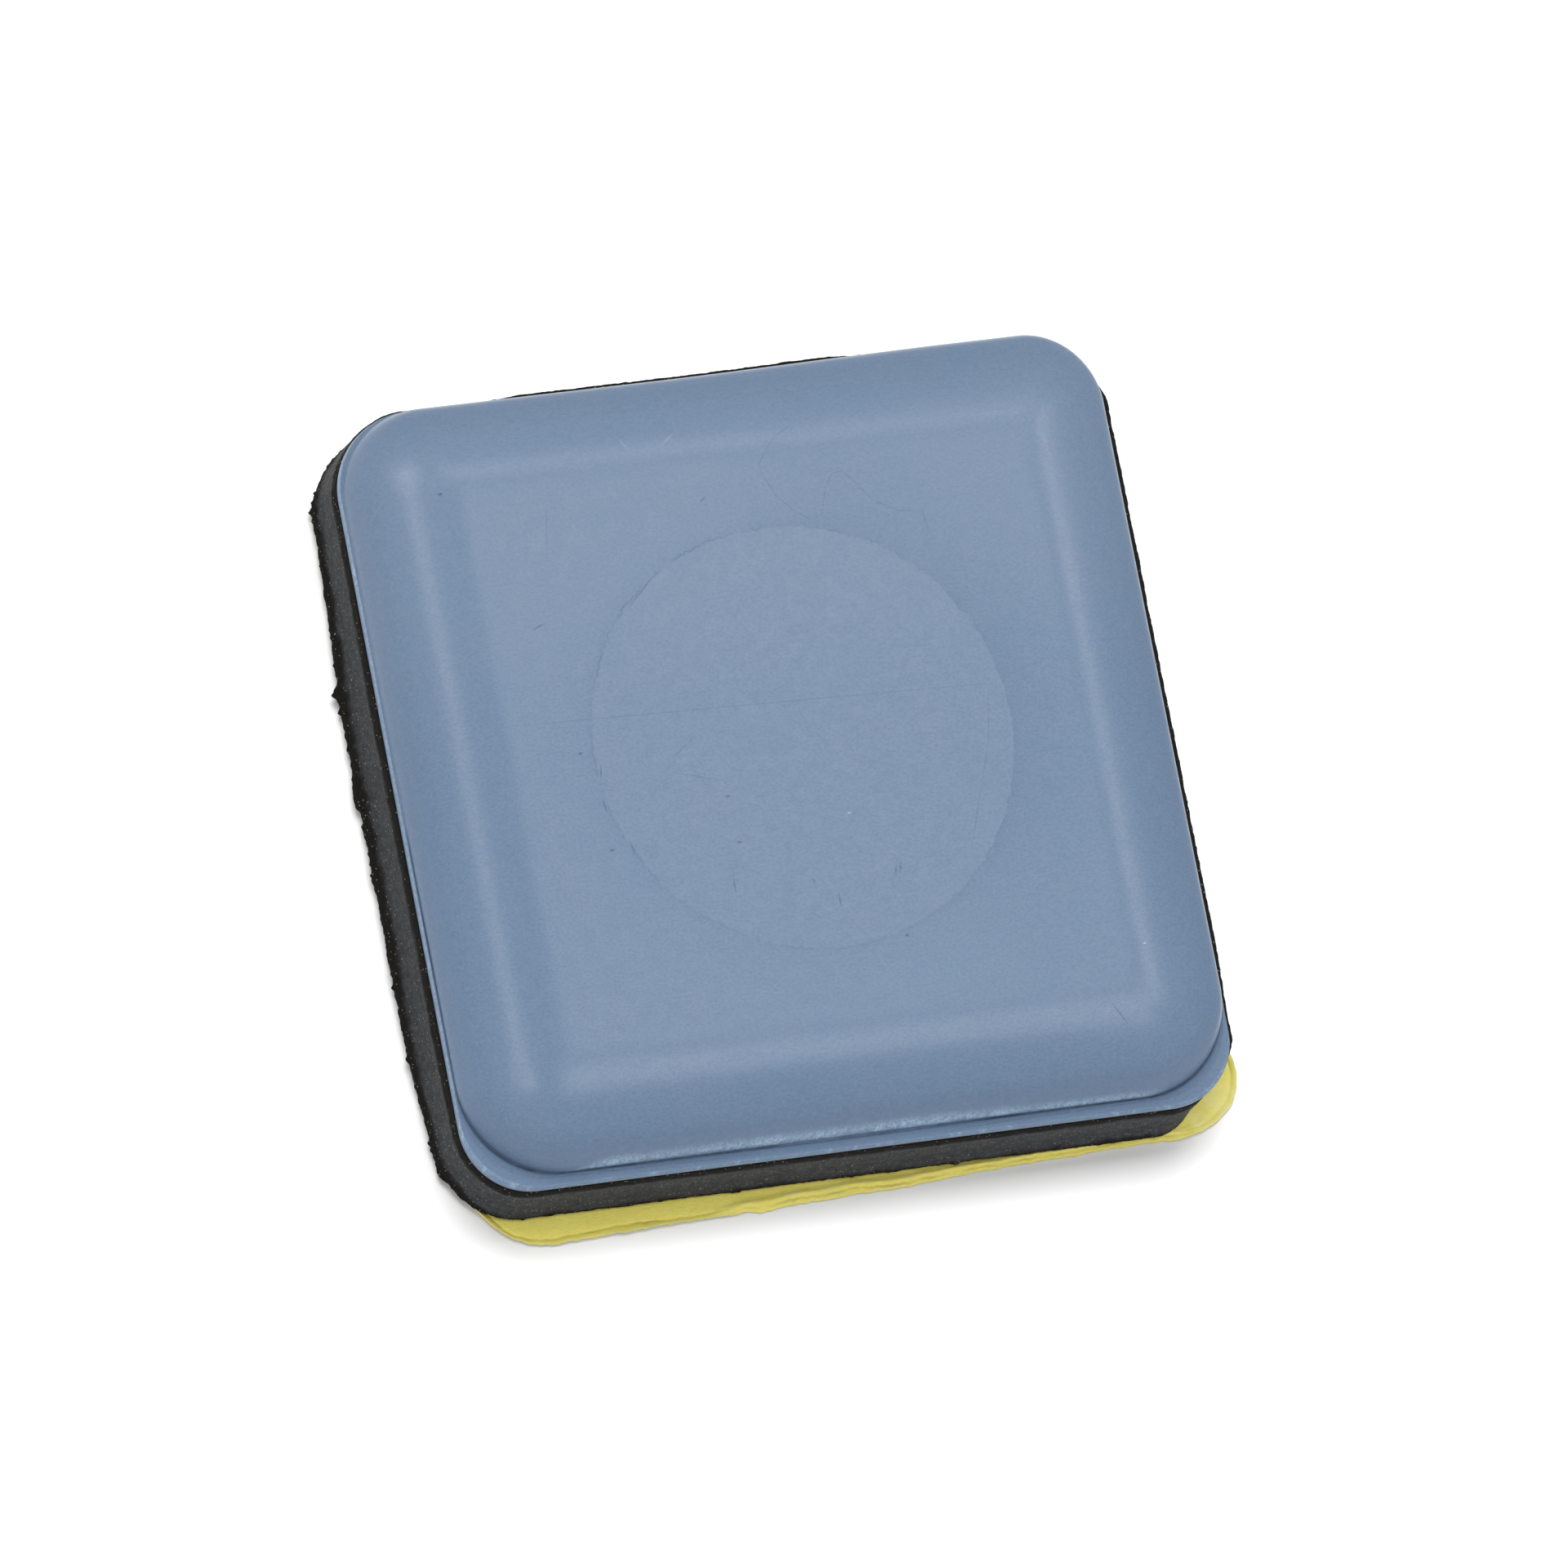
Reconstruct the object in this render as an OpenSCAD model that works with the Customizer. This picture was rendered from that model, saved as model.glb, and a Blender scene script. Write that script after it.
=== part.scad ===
// Square self-adhesive furniture slider, lying on its release liner with the glide face up.
// Millimetres, +Z up. The origin is on the surface under the liner, on the slider's own axis.

/* [Outline] */
// Side of the square that the cap's flange is trimmed to
side = 30; // [24:0.5:60]
// Corner radius of the trimmed flange
corner_r = 2.6; // [1.6:0.2:8]

/* [Glide cap] */
// Thickness of the low-friction sheet
cap_sheet = 0.5; // [0.3:0.05:1]
// Height of the glide face above the top of the flange
cap_rise = 2.4; // [1.4:0.1:4]
// Width of the flange around the foot of the dome
flange_w = 0.2; // [0.1:0.05:1]
// Radius of the tight rounding at the top of the dome's side
edge_r = 1.8; // [1.2:0.1:2.4]
// Radius of the wide shoulder between the glide face and that rounding
shoulder_r = 7; // [5:0.5:12]
// How far the whole rounding reaches in from the dome's side
round_run = 4; // [2.6:0.1:5]
// Corner radius of the flat part of the glide face
flat_corner_r = 0.4; // [0.2:0.1:3]
// Diameter of the round press mark on the glide face
mark_d = 16; // [8:0.5:20]
// Height of the press mark above the glide face
mark_h = 0.04; // [0.02:0.01:0.1]

/* [Rubber core] */
// Thickness of the rubber under the flange
pad_t = 2.45; // [1.5:0.05:5]
// How far the rubber stands out past the flange at its top
pad_proud = 0.12; // [0:0.02:0.4]
// How far the cut side leans out on its way down to the torn band
pad_lean = 0.12; // [0:0.02:0.4]
// Height of the torn band at the lower edge of the rubber
tear_h = 0.6; // [0.2:0.05:1.2]
// How far the torn band flares out past the cut side
tear_flare = 0.2; // [0.1:0.05:0.6]

/* [Bonds and tape] */
// Thickness of the film that bonds the cap to the rubber
bond_t = 0.1; // [0.05:0.01:0.2]
// How far the film's edge stays back from the flange's outline
bond_inset = 0.15; // [0:0.05:0.4]
// Clearance between the curved faces that nest in each other
nest_gap = 0.03; // [0.02:0.01:0.06]
// Thickness of each adhesive layer of the mounting tape
adhesive_t = 0.1; // [0.05:0.01:0.3]
// Thickness of the tape's carrier film
carrier_t = 0.05; // [0.02:0.01:0.2]
// How far the tape stays inside the flange's outline
tape_inset = 0.3; // [0:0.1:1]

/* [Release liner] */
// Thickness of the liner paper
liner_t = 0.12; // [0.06:0.01:0.3]
// How far the liner is cut past the flange at the left and the right
liner_over_x = 0.2; // [0:0.1:2]
// How far the liner is cut past the flange at the front and the back
liner_over_y = 0.7; // [0:0.1:2]
// Corner radius of the liner
liner_corner_r = 3; // [1:0.1:6]
// Angle that the liner is laid askew, in degrees
liner_turn = 1.8; // [-4:0.1:4]
// Sideways offset of the liner from the slider's axis
liner_shift_x = 0.4; // [-0.4:0.05:0.4]
// Offset of the liner from the slider's axis, towards the back
liner_shift_y = -0.35; // [-0.4:0.05:0.4]

/* [Hidden] */
$fn = 96;
// Overshoot of a cut past the face that it opens
cut = 1;

// Heights of the layers, from the surface that the slider lies on
mount_z = liner_t;
carrier_z = mount_z + adhesive_t;
inner_z = carrier_z + carrier_t;
pad_z = inner_z + adhesive_t;
bond_z = pad_z + pad_t;
flange_z = bond_z + bond_t;
flange_top_z = flange_z + cap_sheet;
glide_z = flange_top_z + cap_rise;

// The dome's rounding is two arcs that meet where the surface has turned by round_turn from level.
// Their centres are in the half profile, measured out from the line between the flat's corner centres.
round_turn = asin((round_run - edge_r) / (shoulder_r - edge_r));
turn_way = [sin(round_turn), cos(round_turn)];
shoulder_c = [flat_corner_r, glide_z - shoulder_r];
edge_c = shoulder_c + (shoulder_r - edge_r) * turn_way;
flat_half = side / 2 - flange_w - round_run;
dome_arm = flat_half - flat_corner_r;

// Plate with a rounded rectangle as its outline, from z0 to z1
module rounded_plate(width, length, radius, z0, z1) {
    arm_x = width / 2 - radius;
    arm_y = length / 2 - radius;
    translate([0, 0, z0])
        linear_extrude(z1 - z0)
            union() {
                square([width, 2 * arm_y], center = true);
                square([2 * arm_x, length], center = true);
                for (x = [-arm_x, arm_x], y = [-arm_y, arm_y])
                    translate([x, y])
                        circle(radius);
            }
}

// Plate with a rounded square as its outline, from z0 to z1
module square_plate(width, radius, z0, z1) {
    rounded_plate(width, width, radius, z0, z1);
}

// Solid that carries a profile, drawn outwards from the line between the corner centres, round a square.
// arm is half the distance between the corner centres.
module swept_square(arm, z0, z1) {
    translate([-arm, -arm, z0])
        cube([2 * arm, 2 * arm, z1 - z0]);
    for (turn = [0 : 90 : 270])
        rotate(turn) {
            translate([arm, arm, 0])
                rotate_extrude(angle = 90)
                    children();
            translate([arm, arm, 0])
                rotate([90, 0, 0])
                    linear_extrude(2 * arm)
                        children();
        }
}

// Slice of a round, between two directions from its centre
module round_slice(centre, radius, way_a, way_b) {
    reach = 2 * radius;
    translate(centre)
        intersection() {
            circle(radius);
            polygon([[0, 0], reach * way_a, reach * (way_a + way_b), reach * way_b]);
        }
}

// Half profile of the dome, moved in by inset and cut off level at foot_z
module dome_profile(inset, foot_z) {
    intersection() {
        translate([0, foot_z])
            square([flat_corner_r + round_run, glide_z - inset - foot_z]);
        union() {
            translate([0, foot_z])
                square([flat_corner_r, glide_z - inset - foot_z]);
            round_slice(shoulder_c, shoulder_r - inset, [0, 1], turn_way);
            translate(edge_c)
                circle(edge_r - inset);
            if (edge_c.y > foot_z)
                translate([0, foot_z])
                    square([edge_c.x + edge_r - inset, edge_c.y - foot_z]);
        }
    }
}

// The dome's solid, moved in by inset and cut off level at foot_z
module dome(inset, foot_z) {
    swept_square(dome_arm, foot_z, glide_z - inset)
        dome_profile(inset, foot_z);
}

// Profile of the rubber's cut edge: a side that leans out, over a torn band that flares
module pad_profile(radius) {
    polygon([
        [0, pad_z],
        [radius + pad_lean + tear_flare, pad_z],
        [radius + pad_lean, pad_z + tear_h],
        [radius, bond_z],
        [0, bond_z]
    ]);
}

// Faint round mark of the press tool, kept on the flat of the glide face
module press_mark() {
    intersection() {
        translate([0, 0, glide_z - cap_sheet / 2])
            cylinder(d = mark_d, h = cap_sheet / 2 + mark_h);
        square_plate(2 * flat_half, flat_corner_r, glide_z - cap_sheet, glide_z + mark_h);
    }
}

module glide_cap() {
    color("lightslategray")
        difference() {
            union() {
                square_plate(side, corner_r, flange_z, flange_top_z);
                dome(0, flange_z + cap_sheet / 2);
                press_mark();
            }
            dome(cap_sheet, flange_z - cut);
        }
}

module bond_film() {
    color("black")
        difference() {
            union() {
                square_plate(side - 2 * bond_inset, corner_r - bond_inset, bond_z, flange_z);
                dome(cap_sheet + nest_gap, bond_z);
            }
            dome(cap_sheet + nest_gap + bond_t, bond_z - cut);
        }
}

module rubber_core() {
    pad_arm = side / 2 - corner_r;
    color("dimgray") {
        swept_square(pad_arm, pad_z, bond_z)
            pad_profile(corner_r + pad_proud);
        dome(cap_sheet + bond_t + 2 * nest_gap, pad_z + pad_t / 2);
    }
}

// One layer of the mounting tape
module tape_layer(z0, z1) {
    square_plate(side - 2 * tape_inset, corner_r - tape_inset, z0, z1);
}

module inner_adhesive() {
    color("beige")
        tape_layer(inner_z, pad_z);
}

module tape_carrier() {
    color("whitesmoke")
        tape_layer(carrier_z, inner_z);
}

module mount_adhesive() {
    color("beige")
        tape_layer(mount_z, carrier_z);
}

module release_liner() {
    color("khaki")
        translate([liner_shift_x, liner_shift_y, 0])
            rotate(liner_turn)
                rounded_plate(side + 2 * liner_over_x, side + 2 * liner_over_y, liner_corner_r, 0, liner_t);
}

glide_cap();
bond_film();
rubber_core();
inner_adhesive();
tape_carrier();
mount_adhesive();
release_liner();
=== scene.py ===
import math

import bpy
import numpy as np
from mathutils import Matrix, Vector, noise


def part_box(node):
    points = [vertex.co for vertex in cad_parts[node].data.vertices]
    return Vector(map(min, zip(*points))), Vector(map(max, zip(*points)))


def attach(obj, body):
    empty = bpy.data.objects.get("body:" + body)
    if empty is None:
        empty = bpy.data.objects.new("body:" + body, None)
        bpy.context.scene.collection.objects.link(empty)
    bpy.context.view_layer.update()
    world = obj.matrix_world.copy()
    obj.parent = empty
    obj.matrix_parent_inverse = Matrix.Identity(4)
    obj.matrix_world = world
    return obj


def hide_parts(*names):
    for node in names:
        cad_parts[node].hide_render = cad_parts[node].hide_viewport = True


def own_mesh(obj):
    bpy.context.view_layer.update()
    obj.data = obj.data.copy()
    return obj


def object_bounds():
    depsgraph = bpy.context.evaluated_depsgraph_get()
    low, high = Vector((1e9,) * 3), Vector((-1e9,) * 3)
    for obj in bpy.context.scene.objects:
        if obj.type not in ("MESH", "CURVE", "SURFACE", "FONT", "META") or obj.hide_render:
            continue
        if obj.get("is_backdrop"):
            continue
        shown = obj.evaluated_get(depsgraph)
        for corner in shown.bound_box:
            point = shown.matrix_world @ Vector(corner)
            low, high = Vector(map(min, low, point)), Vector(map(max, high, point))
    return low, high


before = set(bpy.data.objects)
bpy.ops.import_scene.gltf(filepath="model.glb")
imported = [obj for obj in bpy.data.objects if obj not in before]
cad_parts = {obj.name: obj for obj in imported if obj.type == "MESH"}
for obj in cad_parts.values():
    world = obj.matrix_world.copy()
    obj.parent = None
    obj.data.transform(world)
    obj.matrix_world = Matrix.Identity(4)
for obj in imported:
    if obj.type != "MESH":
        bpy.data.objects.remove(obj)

CAD_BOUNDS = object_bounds()

# Sizes are in millimetres, and MM turns them into the scene's metres
MM = 0.001
# Distance between the places where noises with different seeds are read
SEED_STEP = 17.3


def node_box(name):
    """Lowest and highest corner of a solid, in millimetres."""
    low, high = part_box(name)
    return np.array(low) / MM, np.array(high) / MM


# Sides of the part, as directions outwards
LEFT = (-1, 0)
RIGHT = (1, 0)
FRONT = (0, -1)
BACK = (0, 1)

# Glide cap, with the sizes of its solid
CAP_LOW, CAP_HIGH = node_box("glide_cap")
SIDE_HALF = CAP_HIGH[0]
CAP_SHEET = 0.5
EDGE_R = 1.8
SHOULDER_R = 7.0
ROUND_RUN = 4.0
FLANGE_W = 0.2
FLAT_CORNER_R = 0.4
MARK_H = 0.04
FLANGE_Z = CAP_LOW[2]
FLANGE_TOP = FLANGE_Z + CAP_SHEET
GLIDE_Z = CAP_HIGH[2] - MARK_H
INNER_FLAT_HALF = SIDE_HALF - FLANGE_W - ROUND_RUN

# The flange was trimmed off centre: how much of it shows past the dome on each side
FLANGE_SHOWN = {LEFT: 0.07, RIGHT: 0.1, FRONT: 0.47, BACK: 0.02}
# Corner radii, which are not all the same: left and right at the front, then at the back
FLANGE_CORNERS = ((2.6, 2.6), (3.05, 2.75))
FOOT_CORNERS = ((3.7, 3.7), (3.3, 2.85))
FLAT_CORNERS = ((0.3, 0.3), (0.15, 0.15))
# How far the sheet bows out at the right of the back
BACK_BOW = 0.13
# Press mark, as it sits on this face, and the distances from its rim at which the face has rings
MARK_CENTRE = np.array([0.14, 0.22])
MARK_R = 8.13
RIM_STEPS = np.array([
    -0.15, -0.08, -0.03, 0.0, 0.03, 0.06, 0.1, 0.15, 0.22, 0.32, 0.45, 0.65, 0.9, 1.2, 1.6,
])
# Depths and heights of the finer shapes that were pressed into the sheet
MARK_SAG = 0.037
TOP_WAVE = 0.003
DIMPLE_D = 0.014
FILLET_H = 0.1
GROOVE_D = 0.05
RIDGE_H = 0.022
RIDGE_DIP = 0.03
LIP_BULGE = 0.03

# Rubber core
CORE_LOW, CORE_HIGH = node_box("rubber_core")
PAD_Z = CORE_LOW[2]
BOND_Z = node_box("bond_film")[0][2]
CORE_INSET = GLIDE_Z - CORE_HIGH[2]

# Release liner
LINER_T = node_box("release_liner")[1][2]
LINER_HALF = (15.2, 15.7)
LINER_CORNER_R = 3.0
LINER_TURN = math.radians(1.8)
LINER_SHIFT = (0.4, -0.35)


def smooth(start, end, x):
    """0 before start, 1 after end, and an eased step between."""
    t = np.clip((x - start) / (end - start), 0, 1)
    return t * t * (3 - 2 * t)


def bell(x, middle, width):
    """1 at the middle, falling off over the width."""
    return np.exp(-(((x - middle) / width) ** 2))


def blend(a, b, share):
    """a at a share of 0, b at a share of 1, and in proportion between."""
    return a + (b - a) * share


def fractal(points, size, octaves=3, seed=0.0):
    """Noise of about -1 to 1 at each point.

    size is the length of its largest lumps, one number or one for each axis.
    """
    places = np.asarray(points).reshape(-1, 3) / np.asarray(size) + SEED_STEP * seed
    values = [noise.fractal(Vector(p), 1.0, 2.0, octaves) for p in places]
    return np.array(values).reshape(np.asarray(points).shape[:-1])


class Outline:
    """Places round a rounded rectangle, in the same order for every ring of a piece."""

    def __init__(self, per_side, per_corner):
        along = np.linspace(-1, 1, per_side, endpoint=False)
        turn = np.linspace(0, math.pi / 2, per_corner, endpoint=False)
        side_arm = np.stack([np.ones(per_side), along], 1)
        side_way = np.tile([1.0, 0.0], (per_side, 1))
        corner_way = np.stack([np.cos(turn), np.sin(turn)], 1)
        arm = np.concatenate([side_arm, np.ones((per_corner, 2))])
        way = np.concatenate([side_way, corner_way])
        quarter = np.array([[0, 1], [-1, 0]])
        turns = [np.linalg.matrix_power(quarter, k) for k in range(4)]
        self.arm = np.concatenate([arm @ t for t in turns])
        self.way = np.concatenate([way @ t for t in turns])
        self.rightwards, self.backwards = (self.arm.T + 1) / 2

    def ring(self, half, radius, centre=(0, 0)):
        """Points of one rounded rectangle.

        half is half its width along X and Y, and radius may differ by place.
        """
        radius = np.broadcast_to(radius, len(self.arm))[:, None]
        return np.array(centre) + self.arm * (np.array(half) - radius) + self.way * radius

    def towards(self, way):
        """How squarely each place faces a direction, from 0 to 1."""
        return np.clip(self.way @ np.array(way), 0, 1) ** 2

    def by_corner(self, values):
        """Values given for each corner, left and right at the front and then at the back."""
        front, back = (blend(*ends, self.rightwards) for ends in values)
        return blend(front, back, self.backwards)

    def corner(self, way_a, way_b):
        """1 in the middle of the corner between two sides, and 0 away from it."""
        return 4 * self.towards(way_a) * self.towards(way_b)

    def by_side(self, values):
        """Values given for each side, eased into each other round the corners."""
        return sum(self.towards(way) * value for way, value in values.items())

    def bow(self):
        """How far the cap's own outline stands out towards the back."""
        return BACK_BOW * self.towards(BACK) * smooth(0.4, 0.9, self.rightwards)

    def trim(self):
        """Ring of the line that the flange was trimmed to."""
        ring = self.ring((SIDE_HALF, SIDE_HALF), self.by_corner(FLANGE_CORNERS))
        ring[:, 1] += self.bow()
        return ring


def lift(ring, z):
    """A flat ring at the height z, one number or one for each point."""
    return np.column_stack([ring, np.broadcast_to(z, len(ring))])


def ring_piece(name, rings, material, **attributes):
    """Closed mesh through rings of points, from the middle of the top to the middle of the bottom."""
    rings = np.array(rings)
    count = rings.shape[1]
    points = np.concatenate([rings[0].mean(0)[None], rings.reshape(-1, 3), rings[-1].mean(0)[None]])
    here = np.arange(count)
    after = np.roll(here, -1)
    starts = 1 + count * np.arange(len(rings))
    top = np.stack([np.zeros(count, int), starts[0] + here, starts[0] + after], 1)
    bottom = np.stack([np.full(count, len(points) - 1), starts[-1] + after, starts[-1] + here], 1)
    sides = [
        np.stack([a + here, b + here, b + after, a + after], 1)
        for a, b in zip(starts[:-1], starts[1:])
    ]
    faces = [*top.tolist(), *np.concatenate(sides).tolist(), *bottom.tolist()]
    mesh = bpy.data.meshes.new(name)
    mesh.from_pydata((points * MM).tolist(), [], faces)
    mesh.polygons.foreach_set("use_smooth", np.ones(len(faces), bool))
    for key, values in attributes.items():
        spread = np.concatenate([[values[0].mean()], np.array(values).ravel(), [values[-1].mean()]])
        mesh.attributes.new(key, "FLOAT", "POINT").data.foreach_set("value", spread.astype(np.float32))
    mesh.materials.append(material)
    mesh.update()
    piece = bpy.data.objects.new(name, mesh)
    bpy.context.scene.collection.objects.link(piece)
    return piece


class Shader:
    """A node material, built up by short calls."""

    def __init__(self, name):
        self.material = bpy.data.materials.new(name)
        self.material.use_nodes = True
        self.nodes = self.material.node_tree.nodes
        self.links = self.material.node_tree.links
        self.surface = self.nodes["Principled BSDF"]
        self.place = self.nodes.new("ShaderNodeTexCoord").outputs["Object"]

    def put(self, socket, value):
        """Links an output to a socket, or sets a plain value on it."""
        if isinstance(value, bpy.types.NodeSocket):
            self.links.new(value, socket)
        else:
            socket.default_value = value

    def maths(self, operation, a, b=0.0):
        """Result of an operation on one or two values."""
        made = self.nodes.new("ShaderNodeMath")
        made.operation = operation
        self.put(made.inputs[0], a)
        self.put(made.inputs[1], b)
        return made.outputs[0]

    def attribute(self, name):
        """Value that the mesh carries at each of its points."""
        made = self.nodes.new("ShaderNodeAttribute")
        made.attribute_name = name
        return made.outputs["Fac"]

    def axis(self, name):
        """One coordinate of the place, in metres."""
        made = self.nodes.new("ShaderNodeSeparateXYZ")
        self.put(made.inputs[0], self.place)
        return made.outputs[name]

    def speckle(self, size, detail=3.0, rough=0.5, stretch=(1, 1, 1)):
        """Noise from 0 to 1, with lumps of about that many millimetres."""
        spread = self.nodes.new("ShaderNodeMapping")
        self.put(spread.inputs["Vector"], self.place)
        spread.inputs["Scale"].default_value = stretch
        made = self.nodes.new("ShaderNodeTexNoise")
        self.put(made.inputs["Vector"], spread.outputs["Vector"])
        made.inputs["Scale"].default_value = 1 / (size * MM)
        made.inputs["Detail"].default_value = detail
        made.inputs["Roughness"].default_value = rough
        return made.outputs["Fac"]

    def dots(self, size, radius, share):
        """1 on scattered dots. size is the distance between them, and share of them are kept."""
        made = self.nodes.new("ShaderNodeTexVoronoi")
        self.put(made.inputs["Vector"], self.place)
        made.inputs["Scale"].default_value = 1 / (size * MM)
        near = self.ramp(made.outputs["Distance"], radius / size, 0.5 * radius / size)
        return self.maths("MULTIPLY", near, self.ramp(made.outputs["Color"], 1 - share, 1.05 - share))

    def stroke(self, start, end, width):
        """1 on the middle of a thin straight stroke seen from above, fading to its ends and sides."""
        start, end = np.array(start), np.array(end)
        run = end - start
        local = self.nodes.new("ShaderNodeMapping")
        local.vector_type = "TEXTURE"
        self.put(local.inputs["Vector"], self.place)
        local.inputs["Location"].default_value = (*((start + end) / 2 * MM), 0)
        local.inputs["Rotation"].default_value = (0, 0, math.atan2(run[1], run[0]))
        local.inputs["Scale"].default_value = (np.linalg.norm(run) / 2 * MM, width / 2 * MM, 1)
        made = self.nodes.new("ShaderNodeTexGradient")
        made.gradient_type = "SPHERICAL"
        self.put(made.inputs["Vector"], local.outputs["Vector"])
        return made.outputs["Fac"]

    def strokes(self, paths, width, overlap=0.3):
        """The strongest of the strokes along paths of points."""
        shown = 0.0
        for path in paths:
            for start, end in zip(path[:-1], path[1:]):
                reach = overlap * (np.array(end) - start)
                shown = self.maths("MAXIMUM", self.stroke(start - reach, end + reach, width), shown)
        return shown

    def strongest(self, shown, marks):
        """The strongest of what is shown so far and of more marks, each given with its strength."""
        for mark, strength in marks:
            shown = self.maths("MAXIMUM", shown, self.maths("MULTIPLY", mark, strength))
        return shown

    def ramp(self, value, start, end, low=0.0, high=1.0):
        """Eased step of a value between two limits."""
        made = self.nodes.new("ShaderNodeMapRange")
        made.interpolation_type = "SMOOTHSTEP"
        self.put(made.inputs["Value"], value)
        made.inputs["From Min"].default_value = start
        made.inputs["From Max"].default_value = end
        made.inputs["To Min"].default_value = low
        made.inputs["To Max"].default_value = high
        return made.outputs["Result"]

    def mix(self, share, a, b):
        """Colour between a and b."""
        made = self.nodes.new("ShaderNodeMix")
        made.data_type = "RGBA"
        self.put(made.inputs["Factor"], share)
        ends = [socket for socket in made.inputs if socket.type == "RGBA"]
        for socket, value in zip(ends, (a, b)):
            self.put(socket, value if isinstance(value, bpy.types.NodeSocket) else (*value, 1))
        return next(socket for socket in made.outputs if socket.type == "RGBA")

    def bump(self, height, depth, under=None):
        """Normal of a height of 0 to 1 that stands for a depth in millimetres."""
        made = self.nodes.new("ShaderNodeBump")
        made.inputs["Distance"].default_value = depth * MM
        self.put(made.inputs["Height"], height)
        if under is not None:
            self.put(made.inputs["Normal"], under)
        return made.outputs["Normal"]

    def finish(self, **inputs):
        """Sets the surface's own sockets, given by their names with _ for a space."""
        for key, value in inputs.items():
            self.put(self.surface.inputs[key.replace("_", " ")], value)
        return self.material


# Wear of the glide face, as paths seen from above
LONG_SCRATCH = [[(-13.0, 2.0), (10.0, 1.3)]]
HAIRLINES = [
    [(2.0, 12.2), (1.3, 11.8), (0.8, 11.3), (0.5, 10.8), (0.5, 10.4), (0.9, 9.5), (1.5, 8.8),
     (2.1, 8.4), (2.5, 8.6), (2.9, 9.7), (3.2, 10.1), (3.6, 10.2), (4.1, 9.6), (4.6, 8.9),
     (5.5, 8.4), (6.1, 8.3)],
    [(6.4, 8.4), (6.5, 7.5)],
    [(-4.2, 0.6), (-5.0, 0.0), (-5.0, -0.3)],
    [(-4.6, -0.7), (-3.6, -1.0)],
    [(7.5, 0.8), (7.2, -0.8), (6.6, -2.4), (5.8, -4.6)],
    [(-8.0, 10.0), (-8.3, 8.3)],
]
TICKS = [
    [(-9.4, 5.5), (-8.9, 5.7)],
    [(-7.8, 0.1), (-7.9, -0.5)],
    [(-8.0, -1.2), (-7.9, -1.8)],
    [(-7.3, -2.9), (-7.1, -3.5)],
    [(-3.6, -4.8), (-3.6, -5.4)],
    [(2.9, -5.0), (2.8, -5.4)],
    [(2.7, -5.1), (2.6, -5.5)],
    [(0.3, -5.8), (0.3, -6.5)],
    [(-0.6, -5.2), (-0.5, -5.4)],
    [(-2.1, 9.6), (-1.8, 9.8)],
    [(-5.6, 5.9), (-4.2, 7.2)],
    [(9.9, -11.2), (10.5, -12.2)],
]
PALE_SCRATCHES = [
    [(-3.2, 11.9), (-2.4, 12.5)],
    [(-4.7, 12.5), (-4.4, 11.9)],
]
DARK_SPECKS = [(-11.9, 11.1), (-8.5, 0.6), (-8.0, -3.2), (-3.2, -1.7), (-3.1, -3.5), (2.6, -7.8)]
PALE_SPECKS = [(1.3, -2.9), (11.7, -9.2)]


def short_dashes(places, half):
    """Paths of dashes so short that they show as specks."""
    return [[(x - half, y), (x + half, y)] for x, y in places]


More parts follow.
